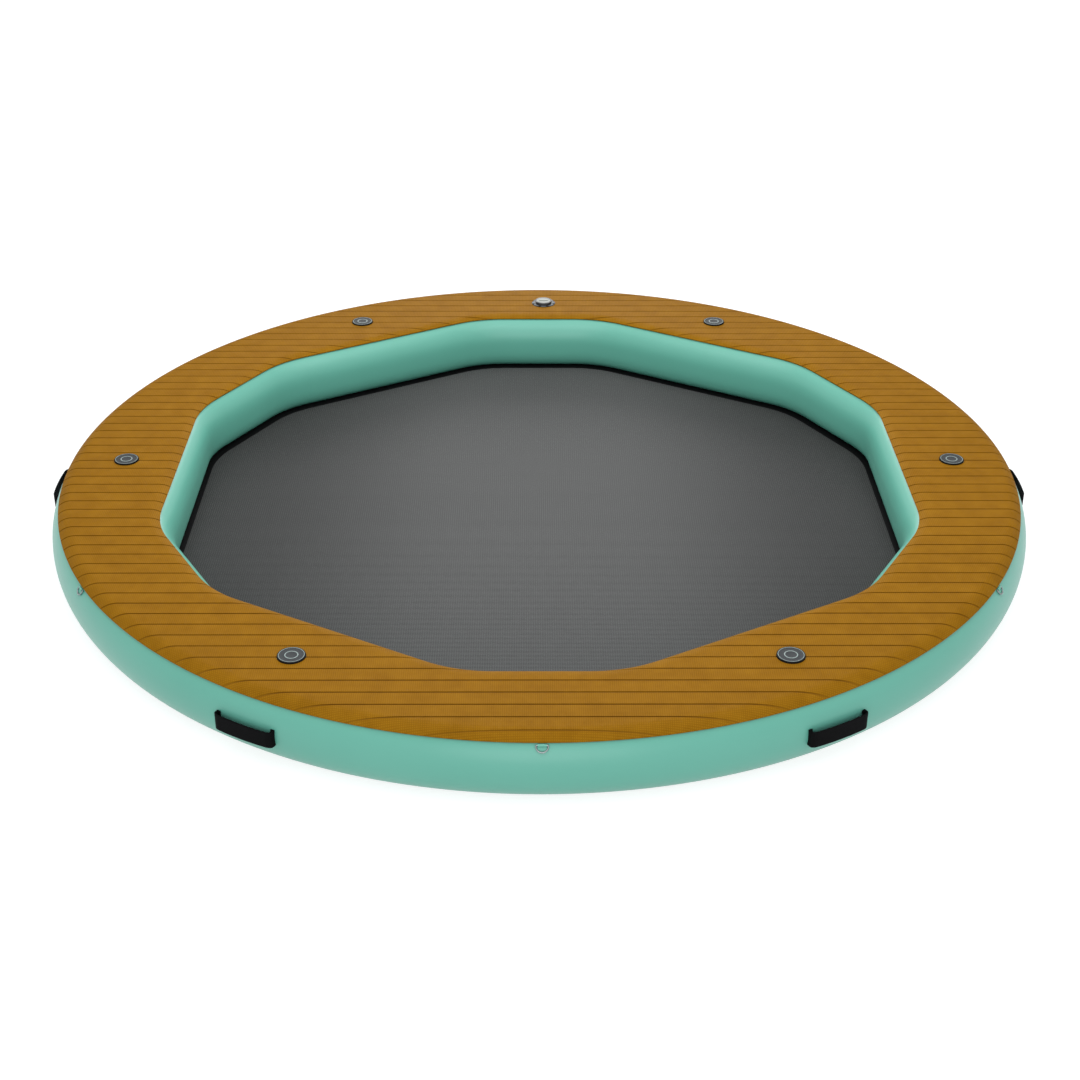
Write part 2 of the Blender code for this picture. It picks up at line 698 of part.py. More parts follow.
def make_valve_stem(place, at):
    """The sprung stem with its button and foot, its rubber seal, and the spring round it."""
    stem = [(0, at["button_top"]), (button_radius, at["button_top"]), (button_radius, at["button_bottom"]),
            (stem_radius, at["button_bottom"]), (stem_radius, at["foot_top"]), (foot_radius, at["foot_top"]),
            (foot_radius, at["foot_bottom"]), (0, at["foot_bottom"])]
    turned("valve_stem", stem, place, valve_plastic)
    seal = ring_profile(stem_radius + seat_gap, seal_radius, at["seal_bottom"], at["seal_top"])
    turned("valve_seal", seal, place, rubber, closed=True)

    bottom = at["guide_top"] + seat_gap + spring_wire / 2
    rise = at["button_bottom"] - seat_gap - spring_wire / 2 - bottom
    coil = []
    for step in range(spring_turns * spring_turn_steps + 1):
        angle = 2 * math.pi * step / spring_turn_steps
        climb = rise * step / (spring_turns * spring_turn_steps)
        coil.append((spring_radius * math.cos(angle), spring_radius * math.sin(angle), bottom + climb))
    wire = poly_curve("valve_spring", [coil], "3D", cyclic=False)
    wire.bevel_depth = spring_wire / 2
    wire.bevel_resolution = 0
    wire.use_fill_caps = True
    wire.materials.append(stainless)
    spring = bpy.data.objects.new("valve_spring", wire)
    parts.objects.link(spring)
    spring.location = place


def make_valve_cap(place, at):
    """The plug-in cap with its grip and two lugs, and the rubber ring under it."""
    plug = bore_radius - plug_clearance
    hollow = plug - plug_wall
    profile = [(0, at["cap_top"]), (cap_radius - cap_chamfer, at["cap_top"]),
               (cap_radius, at["cap_top"] - cap_chamfer), (cap_radius, at["cap_bottom"]),
               (plug, at["cap_bottom"]), (plug, at["plug_bottom"]), (hollow, at["plug_bottom"]),
               (hollow, at["cap_bottom"]), (0, at["cap_bottom"])]
    cap = turned("valve_cap", profile, place, cap_plastic)
    sunk = plug_wall / 2
    lug_size = (lug_reach + sunk, lug_width, lug_height)
    lug_height_middle = (at["lug_bottom"] + at["lug_top"]) / 2
    lugs = [(place + Vector((side * (plug + (lug_reach - sunk) / 2), 0, lug_height_middle)), lug_size)
            for side in (-1, 1)]
    boolean(cap, add_cutter("cap_lugs", boxes_mesh("cap_lugs", lugs)), "UNION")
    grip = (place + Vector((0, 0, at["cap_top"])), (cap_grip_length, cap_grip_width, 2 * cap_grip_height))
    boolean(cap, add_cutter("cap_grip", boxes_mesh("cap_grip", [grip])), "UNION")

    ring_middle = at["cap_seat"] + seat_gap + cap_ring_wire / 2
    half = cap_ring_wire / 2
    section = [(cap_ring_radius + half * math.sin(angle), ring_middle + half * math.cos(angle))
               for angle in (math.pi * step / 3 for step in range(6))]
    turned("cap_seal_ring", section, place, rubber, closed=True)


def make_valve():
    """The inflation valve, clamped through the top skin between its gasket and its back nut."""
    place = Vector((valve_side_shift, valve_reach, 0))
    at = valve_heights()
    make_valve_housing(place, at)
    gasket_top = at["gasket_bottom"] + gasket_thickness
    inner = barrel_radius + seat_gap
    gasket = ring_profile(inner, flange_radius - scallop_bite, at["gasket_bottom"], gasket_top)
    turned("valve_gasket", gasket, place, rubber, closed=True)
    nut_top = skin_top - skin_thickness - seat_gap
    nut = ring_profile(inner, nut_radius, nut_top - nut_thickness, nut_top)
    turned("valve_back_nut", nut, place, valve_plastic, closed=True)
    make_valve_stem(place, at)
    make_valve_cap(place, at)


make_panels()
make_side_walls()
make_core()
make_deck_pad()
make_net()
make_binding()
make_handles()
make_d_rings()
make_pods()
make_valve()
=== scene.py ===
import json
import math

import bmesh
import bpy
from mathutils import Matrix, Vector


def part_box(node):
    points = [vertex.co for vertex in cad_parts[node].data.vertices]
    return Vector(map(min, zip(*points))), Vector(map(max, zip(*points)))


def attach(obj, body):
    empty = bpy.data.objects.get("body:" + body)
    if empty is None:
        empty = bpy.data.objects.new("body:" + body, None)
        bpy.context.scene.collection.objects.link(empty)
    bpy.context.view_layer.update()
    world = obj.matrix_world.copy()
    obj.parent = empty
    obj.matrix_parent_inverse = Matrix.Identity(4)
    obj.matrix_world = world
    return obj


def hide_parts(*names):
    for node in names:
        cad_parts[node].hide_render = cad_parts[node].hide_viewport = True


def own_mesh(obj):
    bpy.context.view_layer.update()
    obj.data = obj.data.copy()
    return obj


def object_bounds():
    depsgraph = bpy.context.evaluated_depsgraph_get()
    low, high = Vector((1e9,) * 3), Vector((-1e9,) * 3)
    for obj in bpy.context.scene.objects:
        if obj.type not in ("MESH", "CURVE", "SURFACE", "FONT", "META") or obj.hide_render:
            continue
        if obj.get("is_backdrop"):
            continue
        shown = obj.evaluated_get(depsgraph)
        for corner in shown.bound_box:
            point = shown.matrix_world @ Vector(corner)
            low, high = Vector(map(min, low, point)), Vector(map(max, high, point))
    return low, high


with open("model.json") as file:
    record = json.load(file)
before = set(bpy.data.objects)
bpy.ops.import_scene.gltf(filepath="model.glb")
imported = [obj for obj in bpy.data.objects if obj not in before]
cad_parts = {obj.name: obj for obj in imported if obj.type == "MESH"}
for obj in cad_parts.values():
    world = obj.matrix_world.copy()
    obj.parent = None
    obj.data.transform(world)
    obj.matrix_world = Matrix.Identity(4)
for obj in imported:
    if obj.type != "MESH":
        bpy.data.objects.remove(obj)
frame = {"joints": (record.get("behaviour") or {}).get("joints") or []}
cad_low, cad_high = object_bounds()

# The stage. The camera stands about 5.8 m from the middle of the hammock and looks down on it, as the
# photograph does. The floor and the background are white, and the light is soft and comes from above.
camera_place = (-0.027, -5.070, 2.774)
camera_lens = 59.38                    # millimetres, on a sensor 36 mm wide
camera_down = math.radians(29.49)
camera_turn = math.radians(-0.33)
camera_roll = math.radians(0.14)
floor_size = 60.0
floor_drop = 0.0005                    # below the underside, so that the two never meet
floor_white = "DADADA"
floor_glow = 0.80                      # of the white that the camera sees; the rest takes the shadow
floor_seen_share = 0.58
shaded_floor = 1.2                     # radius under the ring and the net where no glow reaches
world_white = "F5FAFF"
world_strength = 0.70
top_light = ((0.0, 0.0, 4.2), 6.0, 100.0)         # place, size, watts
front_light = ((0.0, -6.5, 1.6), 4.0, 75.0)
back_light = ((0.0, 7.0, 2.8), 2.5, 105.0)
opening_light = ((0.0, 0.0, 1.1), 1.4, 5.5)       # low over the net, for the inner wall


def linear_colour(code):
    """A colour written as sRGB hex, as the linear RGBA that a shader takes."""
    channels = [int(code[place:place + 2], 16) / 255 for place in (0, 2, 4)]
    return (*[c / 12.92 if c <= 0.04045 else ((c + 0.055) / 1.055) ** 2.4 for c in channels], 1.0)


def add_node(tree, kind, settings=(), inputs=()):
    """Add a node with its settings and inputs; an input given as a socket is linked."""
    node = tree.nodes.new(kind)
    for name, value in dict(settings).items():
        setattr(node, name, value)
    for name, value in dict(inputs).items():
        if isinstance(value, bpy.types.NodeSocket):
            tree.links.new(value, node.inputs[name])
        else:
            node.inputs[name].default_value = value
    return node


def seen_rays(tree):
    """1 for the rays that show the white background itself, straight or in a glossy surface."""
    rays = add_node(tree, "ShaderNodeLightPath").outputs
    bent = {0: rays["Is Glossy Ray"], 1: rays["Is Transmission Ray"]}
    bent = add_node(tree, "ShaderNodeMath", {"operation": "MAXIMUM"}, bent).outputs[0]
    both = {0: rays["Is Camera Ray"], 1: bent}
    return add_node(tree, "ShaderNodeMath", {"operation": "MAXIMUM"}, both).outputs[0]


def floor_paint():
    """White paint. What the camera sees glows a little, so that it is white and still takes a shadow."""
    material = bpy.data.materials.new("studio_white_paint")
    material.use_nodes = True
    tree = material.node_tree
    tree.nodes.clear()
    white = linear_colour(floor_white)
    dimmed = [channel * floor_seen_share for channel in white[:3]] + [1.0]
    plain = add_node(tree, "ShaderNodeBsdfDiffuse", inputs={"Color": white})
    shaded = add_node(tree, "ShaderNodeBsdfDiffuse", inputs={"Color": dimmed})
    place = add_node(tree, "ShaderNodeTexCoord").outputs["Object"]
    reach = add_node(tree, "ShaderNodeVectorMath", {"operation": "LENGTH"}, {0: place}).outputs["Value"]
    outside = add_node(tree, "ShaderNodeMath", {"operation": "GREATER_THAN"}, {0: reach, 1: shaded_floor})
    lit = {0: outside.outputs[0], 1: floor_glow}
    strength = add_node(tree, "ShaderNodeMath", {"operation": "MULTIPLY"}, lit).outputs[0]
    glow = add_node(tree, "ShaderNodeEmission", inputs={"Strength": strength})
    shown = add_node(tree, "ShaderNodeAddShader", inputs={0: shaded.outputs[0], 1: glow.outputs[0]})
    mixed = {0: seen_rays(tree), 1: plain.outputs[0], 2: shown.outputs[0]}
    mix = add_node(tree, "ShaderNodeMixShader", inputs=mixed)
    add_node(tree, "ShaderNodeOutputMaterial", inputs={"Surface": mix.outputs[0]})
    return material


def light_the_world():
    """A soft even sky, which is plain white where it is seen."""
    world = bpy.data.worlds.new("studio")
    bpy.context.scene.world = world
    world.use_nodes = True
    tree = world.node_tree
    tree.nodes.clear()
    sky = {"Color": linear_colour(world_white), "Strength": world_strength}
    soft = add_node(tree, "ShaderNodeBackground", inputs=sky)
    white = add_node(tree, "ShaderNodeBackground", inputs={"Color": (1, 1, 1, 1), "Strength": 1.0})
    mixed = {0: seen_rays(tree), 1: soft.outputs[0], 2: white.outputs[0]}
    mix = add_node(tree, "ShaderNodeMixShader", inputs=mixed)
    add_node(tree, "ShaderNodeOutputWorld", inputs={"Surface": mix.outputs[0]})


bpy.ops.object.camera_add(location=camera_place)
camera = bpy.context.object
aim = Matrix.Rotation(camera_turn, 4, "Z") @ Matrix.Rotation(math.pi / 2 - camera_down, 4, "X")
camera.rotation_euler = (aim @ Matrix.Rotation(camera_roll, 4, "Z")).to_euler()
camera.data.lens = camera_lens
bpy.context.scene.camera = camera
bpy.context.scene.view_settings.view_transform = "Standard"

bpy.ops.mesh.primitive_plane_add(size=floor_size, location=(0, 0, cad_low.z - floor_drop))
floor = bpy.context.object
floor.name = "studio_floor"
floor.data.materials.append(floor_paint())
floor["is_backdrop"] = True

light_the_world()
for place, size, power in (top_light, front_light, back_light, opening_light):
    bpy.ops.object.light_add(type="AREA", location=place)
    lamp = bpy.context.object
    lamp.rotation_euler = (-Vector(place)).to_track_quat("-Z", "Y").to_euler()
    lamp.visible_camera = False
    lamp.data.shape = "DISK"
    lamp.data.size = size
    lamp.data.energy = power


# The side walls. Strips of PVC-coated polyester, a round one outside and a twelve-sided one inside, are
# glued and welded under both panels of the ring, and the air swells them into half an ellipse.
side_count = 12
corner_turn = math.tau / side_count
corner_radius = 0.385                  # of the panels' edge at the opening's corners
corner_steps = 10
ring_steps = 240
wall_steps = 28
wall_sheet = 0.001
wall_lap = 0.030                       # under each panel
wall_inset = 0.0025                    # the outer wall's round skin, inside the flat-sided frame's corners
inner_bulge = 0.0755
round_fullness = (2.0, 2.0)            # of a wall's upper and lower half: 2 is an ellipse
inner_fullness = (2.15, 3.0)           # the inner wall hangs fuller below its middle
binding_tail = 0.006                   # panels' edge to the hidden edge of the net's binding
merge_gap = 0.00005
seafoam = "6BB7A3"
seafoam_deep = "62AE9A"
fabric_patch = 0.35                    # size of the slow changes of tone
fabric_grain = 0.0015
fabric_grain_depth = 0.0001
fabric_grain_share = 0.5
fabric_roughness = (0.30, 0.42)
smooth_angle = math.radians(40)        # edges sharper than this stay sharp

body = "hammock"
panel_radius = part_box("top_skin")[1].y
short_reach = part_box("net_binding")[1].y + binding_tail
long_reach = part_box("net_binding")[1].x + binding_tail
outer_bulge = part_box("outer_rail")[1].y - panel_radius - wall_inset
wall_bottom, wall_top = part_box("outer_rail")[0].z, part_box("outer_rail")[1].z
wall_middle = (wall_bottom + wall_top) / 2
wall_half = (wall_top - wall_bottom) / 2


def start_material(name, colour, roughness, metallic=0.0):
    """A material with its Principled shader set; returns it, its tree and the shader."""
    material = bpy.data.materials.new(name)
    material.use_nodes = True
    shader = material.node_tree.nodes["Principled BSDF"]
    shader.inputs["Base Color"].default_value = linear_colour(colour)
    shader.inputs["Roughness"].default_value = roughness
    shader.inputs["Metallic"].default_value = metallic
    material.diffuse_color = linear_colour(colour)
    return material, material.node_tree, shader


def noise_at(tree, size, detail=2.0, roughness=0.5):
    """Noise on the piece's own coordinates, with grains of a real size in metres."""
    place = add_node(tree, "ShaderNodeTexCoord").outputs["Object"]
    inputs = {"Vector": place, "Scale": 1 / size, "Detail": detail, "Roughness": roughness}
    return add_node(tree, "ShaderNodeTexNoise", inputs=inputs).outputs["Fac"]


def between(tree, share, low, high):
    """A value of 0 to 1 spread between two others."""
    inputs = {"Value": share, "To Min": low, "To Max": high}
    return add_node(tree, "ShaderNodeMapRange", inputs=inputs).outputs["Result"]


def mix_colours(tree, share, first, second):
    """A colour between two, each written as hex or given by a socket."""
    mix = add_node(tree, "ShaderNodeMix", {"data_type": "RGBA"})
    for spot, value in ((0, share), (6, first), (7, second)):
        if isinstance(value, bpy.types.NodeSocket):
            tree.links.new(value, mix.inputs[spot])
        else:
            mix.inputs[spot].default_value = linear_colour(value) if isinstance(value, str) else value
    return mix.outputs[2]


def add_bump(tree, shader, height, depth, share=1.0):
    """A relief of a real depth in metres on the shader's normal."""
    bump = add_node(tree, "ShaderNodeBump", inputs={"Height": height, "Distance": depth, "Strength": share})
    tree.links.new(bump.outputs["Normal"], shader.inputs["Normal"])


def coated_fabric(name, light, deep):
    """PVC-coated polyester, calendered smooth: satin, with a fine grain and slow soft changes of tone."""
    material, tree, shader = start_material(name, light, fabric_roughness[1])
    tone = between(tree, noise_at(tree, fabric_patch), 0.0, 1.0)
    tree.links.new(mix_colours(tree, tone, light, deep), shader.inputs["Base Color"])
    grain = noise_at(tree, fabric_grain, 3.0)
    tree.links.new(between(tree, grain, *fabric_roughness), shader.inputs["Roughness"])
    add_bump(tree, shader, grain, fabric_grain_depth, fabric_grain_share)
    return material


def pick(*pieces):
    """Select only these objects, the first one active."""
    bpy.ops.object.select_all(action="DESELECT")
    for piece in pieces:
        piece.select_set(True)
    bpy.context.view_layer.objects.active = pieces[0]


def towards(angle):
    """A level direction, at an angle from +Y towards +X."""
    return Vector((math.sin(angle), math.cos(angle), 0))


def draw_chain(name, points, closed=True):
    """A section drawn by extruding one vertex from point to point."""
    bpy.ops.mesh.primitive_plane_add(size=merge_gap, location=points[0])
    piece = bpy.context.object
    piece.name = name
    bpy.ops.object.mode_set(mode="EDIT")
    bpy.ops.mesh.merge(type="CENTER")
    targets = list(points[1:]) + ([points[0]] if closed else [])
    last = Vector(points[0])
    for target in targets:
        step = Vector(target) - last
        bpy.ops.mesh.extrude_region_move(TRANSFORM_OT_translate={"value": step})
        last = Vector(target)
    bpy.ops.mesh.select_all(action="SELECT")
    bpy.ops.mesh.remove_doubles(threshold=merge_gap)
    bpy.ops.object.mode_set(mode="OBJECT")
    bpy.ops.object.transform_apply()
    return piece


def close_up(piece):
    """Merge what meets and point the faces outwards."""
    pick(piece)
    bpy.ops.object.mode_set(mode="EDIT")
    bpy.ops.mesh.select_all(action="SELECT")
    bpy.ops.mesh.remove_doubles(threshold=merge_gap)
    bpy.ops.mesh.normals_make_consistent(inside=False)
    bpy.ops.object.mode_set(mode="OBJECT")


def spin_round(piece, centre=(0, 0, 0), steps=ring_steps):
    """Turn a section a full turn about an upright line."""
    pick(piece)
    bpy.ops.object.mode_set(mode="EDIT")
    bpy.ops.mesh.select_all(action="SELECT")
    bpy.ops.mesh.spin(steps=steps, angle=math.tau, center=centre, axis=(0, 0, 1))
    bpy.ops.object.mode_set(mode="OBJECT")
    close_up(piece)


def side_reach(side):
    """Ring's centre to the panels' edge on one of the opening's sides."""
    return short_reach if side % 2 == 0 else long_reach


def half_side(side):
    """Half the straight length of one of the opening's sides."""
    near, far = side_reach(side) - corner_radius, side_reach(side + 1) - corner_radius
    return (far - near * math.cos(corner_turn)) / math.sin(corner_turn)


def run_round_opening(piece):
    """Run a section round the twelve sides: half a side, a corner, then half of the next side."""
    pick(piece)
    bpy.ops.object.mode_set(mode="EDIT")
    bpy.ops.mesh.select_all(action="SELECT")
    for side in range(side_count):
        angle = side * corner_turn
        along = towards(angle + math.pi / 2) * half_side(side)
        centre = towards(angle) * (side_reach(side) - corner_radius) + along
        bpy.ops.mesh.extrude_region_move(TRANSFORM_OT_translate={"value": along})
        bpy.ops.mesh.spin(steps=corner_steps, angle=corner_turn, center=centre, axis=(0, 0, 1))
        following = towards(angle + corner_turn + math.pi / 2) * half_side(side + 1)
        bpy.ops.mesh.extrude_region_move(TRANSFORM_OT_translate={"value": following})
    bpy.ops.object.mode_set(mode="OBJECT")
    close_up(piece)


def finish_piece(piece, material, nodes=(), rides_on=body, smooth=smooth_angle):
    """Shade a finished piece, give it its material, and say what it rides on and stands for."""
    pick(piece)
    bpy.ops.object.transform_apply()
    bpy.ops.object.shade_smooth_by_angle(angle=smooth)
    piece.data.materials.clear()
    piece.data.materials.append(material)
    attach(piece, rides_on)
    if nodes:
        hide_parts(*nodes)


def wall_curve(bulge, half, fullness=round_fullness, end=math.pi, steps=wall_steps):
    """Points (out, height) down a swollen wall, from its top to an angle."""
    points = []
    for step in range(steps + 1):
        across, up = max(0.0, math.sin(end * step / steps)), math.cos(end * step / steps)
        power = 2 / (fullness[0] if up > 0 else fullness[1])
        height = math.copysign(abs(up) ** power, up)
        points.append((bulge * across ** power, wall_middle + half * height))
    return points


def at_rim(points):
    """Section points (out, height) at the panels' round edge."""
    return [Vector((0, panel_radius + out, height)) for out, height in points]


def at_opening(points):
    """Section points (out, height) at the panels' edge on the opening's first side."""
    return [Vector((0, short_reach - out, height)) for out, height in points]


def wall_section(bulge, fullness):
    """One sheet from a lap under the top panel, round the swelling, to a lap on the bottom panel."""
    outside = [(-wall_lap, wall_top), *wall_curve(bulge, wall_half, fullness), (-wall_lap, wall_bottom)]
    curve = wall_curve(bulge - wall_sheet, wall_half - wall_sheet, fullness)
    inside = [(-wall_lap, wall_top - wall_sheet), *curve, (-wall_lap, wall_bottom + wall_sheet)]
    return outside + inside[::-1]


ring_fabric = coated_fabric("seafoam_coated_fabric", seafoam, seafoam_deep)

outer_wall = draw_chain("outer_wall", at_rim(wall_section(outer_bulge, round_fullness)))
spin_round(outer_wall)
finish_piece(outer_wall, ring_fabric, ["outer_rail"])

inner_wall = draw_chain("inner_wall", at_opening(wall_section(inner_bulge, inner_fullness)))
run_round_opening(inner_wall)
finish_piece(inner_wall, ring_fabric, ["inner_rail"])


# The panels and the core. Two flat panels of the same coated fabric close the ring above and below, and
# the drop-stitch core between them, two cloths tied by threads, keeps them flat and level. The real ones
# are cut out round the valve; that hole and well are still to be made here.
core_clearance = 0.0006
core_thread = 0.001
core_white = "D9DCD8"
cloth_roughness = 0.85


def band_between(name, outer_points, inner_points):
    """A closed ring from an open chain spun at the rim and one run round the opening, filled between."""
    outer = draw_chain(name, outer_points, closed=False)
    spin_round(outer)
    inner = draw_chain(name + "_inner", inner_points, closed=False)
    run_round_opening(inner)
    pick(outer, inner)
    bpy.ops.object.join()
    for height in (outer_points[0].z, outer_points[-1].z):
        bpy.ops.object.mode_set(mode="EDIT")
        bpy.ops.mesh.select_mode(type="EDGE")
        bpy.ops.mesh.select_all(action="DESELECT")
        sheet = bmesh.from_edit_mesh(outer.data)
        for edge in sheet.edges:
            level = all(abs(vert.co.z - height) < merge_gap for vert in edge.verts)
            edge.select_set(edge.is_boundary and level)
        bmesh.update_edit_mesh(outer.data)
        bpy.ops.mesh.fill(use_beauty=True)
        bpy.ops.mesh.select_mode(type="VERT")
        bpy.ops.object.mode_set(mode="OBJECT")
    close_up(outer)
    return outer


def woven_cloth(name, colour, thread):
    """Bare woven polyester: matt, with its threads crossing at a real spacing."""
    material, tree, shader = start_material(name, colour, cloth_roughness)
    grain = noise_at(tree, thread, 3.0)
    add_bump(tree, shader, grain, thread / 4)
    return material


for name, node in (("top_panel", "top_skin"), ("bottom_panel", "bottom_skin")):
    low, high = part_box(node)[0].z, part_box(node)[1].z
    edges = [(0, high), (0, low)]
    panel = band_between(name, at_rim(edges), at_opening(edges))
    finish_piece(panel, ring_fabric, [node])

drawn_in = wall_sheet + core_clearance
core_curve = wall_curve(outer_bulge - drawn_in, wall_half - drawn_in)
core_inner = wall_curve(inner_bulge - drawn_in, wall_half - drawn_in, inner_fullness)
core = band_between("stitched_core", at_rim(core_curve), at_opening(core_inner))
core_cloth = woven_cloth("woven_polyester", core_white, core_thread)
finish_piece(core, core_cloth, ["drop_stitch_core"])


# The deck pad. One sheet of teak-brown EVA foam 5 mm thick is laid over the top and both shoulders of
# the ring, its face embossed with a fine grid and routed with straight grooves like the gaps of a deck.
deck_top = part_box("deck_pad")[1].z
pad_sheet = 0.005
pad_rest = 0.0003                      # over the fabric
pad_outer_wrap = math.radians(36)
pad_inner_wrap = math.radians(25.5)
pad_wrap_steps = 12
pad_edge_round = 0.0012
plank_width = 0.0543
plank_shift = -0.0025
groove_width = 0.0052
groove_floor_width = 0.0028
groove_wall = (groove_width - groove_floor_width) / 2
groove_depth = 0.0020
groove_fade_share = 0.75               # of depth and colour, lost where a groove runs down the shoulder
groove_fade_tilt = 0.6
top_least_up = 0.5                     # upward part of a face's normal, on the pad's upper face
edge_least_up = 0.1                    # and on the first faces of its rounded edge
pad_smooth_angle = math.radians(35)
pod_place = Vector((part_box("pod_base_1")[0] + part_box("pod_base_1")[1])) / 2
pod_reach = math.hypot(pod_place.x, pod_place.y)
pod_radius = (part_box("pod_base_1")[1].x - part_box("pod_base_1")[0].x) / 2
valve_middle = (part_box("valve_housing")[0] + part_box("valve_housing")[1]) / 2
valve_place = Vector((valve_middle.x, valve_middle.y, 0))
flange_radius = (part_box("valve_housing")[1].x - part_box("valve_housing")[0].x) / 2
pod_count = 6
pad_hole_gap = 0.001
hole_steps = 64
hole_cutter = 4 * pad_sheet            # height of what cuts the holes
teak = "A67416"
teak_dark = "865908"
groove_brown = "5E3A0C"
foam_roughness = 0.6
foam_gloss_share = 0.035
foam_cell = 0.0009
foam_patch = 0.06                      # size of the darker and paler patches
emboss_pitch = 0.0055                  # drawn coarser than the real grid of about 2 mm, so that it shows
emboss_depth = 0.0004
emboss_depth_share = 0.8
# how much darker the emboss's hollows are painted, as shade of the relief
emboss_shade_share = 0.5
patch_tone_shares = (-0.3, 0.6)
cell_depth_share = 0.3
pip_edge_shares = (0.1, 0.55)          # of the wave's height, between a pip's foot and its top


def pad_chain(bulge, fullness, wrap, place):
    """Half of the pad's section: over the shoulder, round its edge, and back underneath."""
    over = wall_curve(bulge + pad_rest + pad_sheet, deck_top - wall_middle, fullness, wrap, pad_wrap_steps)
    under_height = deck_top - pad_sheet - wall_middle
    under = wall_curve(bulge + pad_rest, under_height, fullness, wrap, pad_wrap_steps)
    return place(over + under[::-1])


def soft_edge(piece, size, segments=3, angle=math.radians(50)):
    """Round a piece's edges a little with an applied bevel."""
    pick(piece)
    bevel = piece.modifiers.new("edge", "BEVEL")
    bevel.width = size
    bevel.segments = segments
    bevel.limit_method = "ANGLE"
    bevel.angle_limit = angle
    bevel.harden_normals = False
    bpy.ops.object.modifier_apply(modifier=bevel.name)


def cut_hole(piece, centre, radius, height):
    """Cut a round upright hole through a piece."""
    bpy.ops.mesh.primitive_cylinder_add(vertices=hole_steps, radius=radius, depth=height, location=centre)
    cutter = bpy.context.object
    pick(piece)
    cut = piece.modifiers.new("hole", "BOOLEAN")
    cut.object = cutter
    bpy.ops.object.modifier_apply(modifier=cut.name)
    bpy.data.objects.remove(cutter)


def is_top(polygon):
    """Whether a face of the pad is part of its upper face."""
    return polygon.normal.z > top_least_up


def is_edge(polygon):
    """Whether a face is the first of the rounded edge below the upper face."""
    return edge_least_up < polygon.normal.z < top_least_up


def rout_grooves(piece):
    """Cut straight lines right through, four to a groove, and sink the upper face between them."""
    reach = panel_radius + outer_bulge
    first = math.ceil((-reach - plank_shift) / plank_width)
    last = math.floor((reach - plank_shift) / plank_width)
    pick(piece)
    bpy.ops.object.mode_set(mode="EDIT")
    for line in range(first, last + 1):
        middle = plank_shift + line * plank_width
        for half in (-groove_width / 2, -groove_floor_width / 2, groove_floor_width / 2, groove_width / 2):
            bpy.ops.mesh.select_all(action="SELECT")
            bpy.ops.mesh.bisect(plane_co=(0, middle + half, 0), plane_no=(0, 1, 0))
    bpy.ops.object.mode_set(mode="OBJECT")

    tops = {spot for polygon in piece.data.polygons if is_top(polygon) for spot in polygon.vertices}
    ends = {spot for polygon in piece.data.polygons if is_edge(polygon) for spot in polygon.vertices}
    sunk = piece.data.attributes.new("groove", "FLOAT", "POINT")
    moves = {}
    for spot in tops:
        vertex = piece.data.vertices[spot]
        across = (vertex.co.y - plank_shift) / plank_width
        inside = groove_width / 2 - abs(across - round(across)) * plank_width
        share = min(1, max(0, inside / groove_wall))
        share *= 1 - groove_fade_share * min(1, abs(vertex.normal.y) / groove_fade_tilt)
        sunk.data[spot].value = share
        if share > 0 and spot not in ends:
            moves[spot] = vertex.normal * groove_depth * share
    for spot, move in moves.items():
        piece.data.vertices[spot].co -= move


def embossed_foam():
    """EVA foam, closed-cell and skinned: matt, embossed with a fine grid whose hollows are painted darker as
    shade, and darker where it is routed.
    """
    material, tree, shader = start_material("embossed_eva_foam", teak, foam_roughness)
    place = add_node(tree, "ShaderNodeTexCoord").outputs["Object"]
    pitch_scale = math.tau / 20 / emboss_pitch          # the node's own unit is a twentieth of a turn
    ridges = []
    for direction in ("X", "Y"):
        bands = {"Vector": place, "Scale": pitch_scale, "Distortion": 0.0}
        wave = add_node(tree, "ShaderNodeTexWave", {"bands_direction": direction}, bands).outputs["Fac"]
        steep = {"Value": wave, "From Min": pip_edge_shares[0], "From Max": pip_edge_shares[1]}
        ridge = add_node(tree, "ShaderNodeMapRange", {"interpolation_type": "SMOOTHSTEP"}, steep)
        ridges.append(ridge.outputs["Result"])
    crossed = {0: ridges[0], 1: ridges[1]}
    pips = add_node(tree, "ShaderNodeMath", {"operation": "MULTIPLY"}, crossed).outputs[0]
    cells = noise_at(tree, foam_cell, 2.0)
    patches = between(tree, noise_at(tree, foam_patch, 4.0, 0.6), *patch_tone_shares)
    # Painted shade of the emboss: the hollows between the pips are coloured darker than their tops.
    toned = {0: pips, 1: emboss_shade_share, 2: patches}
    tone = add_node(tree, "ShaderNodeMath", {"operation": "MULTIPLY_ADD"}, toned).outputs[0]
    face = mix_colours(tree, tone, teak_dark, teak)
    groove = add_node(tree, "ShaderNodeAttribute", {"attribute_name": "groove"}).outputs["Fac"]
    tree.links.new(mix_colours(tree, groove, face, groove_brown), shader.inputs["Base Color"])
    rough = {0: cells, 1: cell_depth_share, 2: pips}
    relief = add_node(tree, "ShaderNodeMath", {"operation": "MULTIPLY_ADD"}, rough).outputs[0]
    add_bump(tree, shader, relief, emboss_depth, emboss_depth_share)
    shader.inputs["Specular IOR Level"].default_value = foam_gloss_share
    return material


pad = band_between("deck_foam_pad", pad_chain(outer_bulge, round_fullness, pad_outer_wrap, at_rim),
                   pad_chain(inner_bulge, inner_fullness, pad_inner_wrap, at_opening))
soft_edge(pad, pad_edge_round)
for number in range(pod_count):
    spot = towards(math.tau * (number + 0.5) / pod_count) * pod_reach
    cut_hole(pad, spot + Vector((0, 0, deck_top)), pod_radius + pad_hole_gap, hole_cutter)
cut_hole(pad, valve_place + Vector((0, 0, deck_top)), flange_radius + pad_hole_gap, hole_cutter)
rout_grooves(pad)
finish_piece(pad, embossed_foam(), ["deck_pad"], smooth=pad_smooth_angle)


